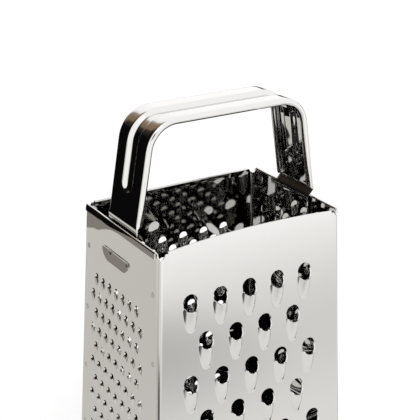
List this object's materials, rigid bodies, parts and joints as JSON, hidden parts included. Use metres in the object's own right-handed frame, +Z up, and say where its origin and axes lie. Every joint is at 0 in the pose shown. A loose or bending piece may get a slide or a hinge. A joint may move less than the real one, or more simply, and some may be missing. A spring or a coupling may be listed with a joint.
{
  "type": "box grater",
  "caption": "Four-sided tapered box grater of stainless sheet with coarse, medium, fine and slicing faces and a strap handle across the open top.",
  "frame": {"origin": "on the floor under the middle of the body's base outline", "axes": "+Z up, the coarse plate faces -Y, the medium plate +Y, the fine plate -X, the slicing plate +X, the handle spans the body along X"},
  "size_m": [0.1106, 0.0845, 0.224],
  "materials": {
    "polished_stainless": "mirror-bright rolled stainless steel",
    "spot_weld": "dull pressed weld nugget"
  },
  "bodies": {
    "root": {"front_coarse_plate": "polished_stainless", "back_medium_plate": "polished_stainless", "left_fine_plate": "polished_stainless", "right_slicing_plate": "polished_stainless", "handle_strip": "polished_stainless", "handle_spot_welds": "spot_weld", "front_left_seam_welds": "spot_weld", "back_left_seam_welds": "spot_weld", "front_right_seam_welds": "spot_weld", "back_right_seam_welds": "spot_weld"}
  },
  "joints": []
}
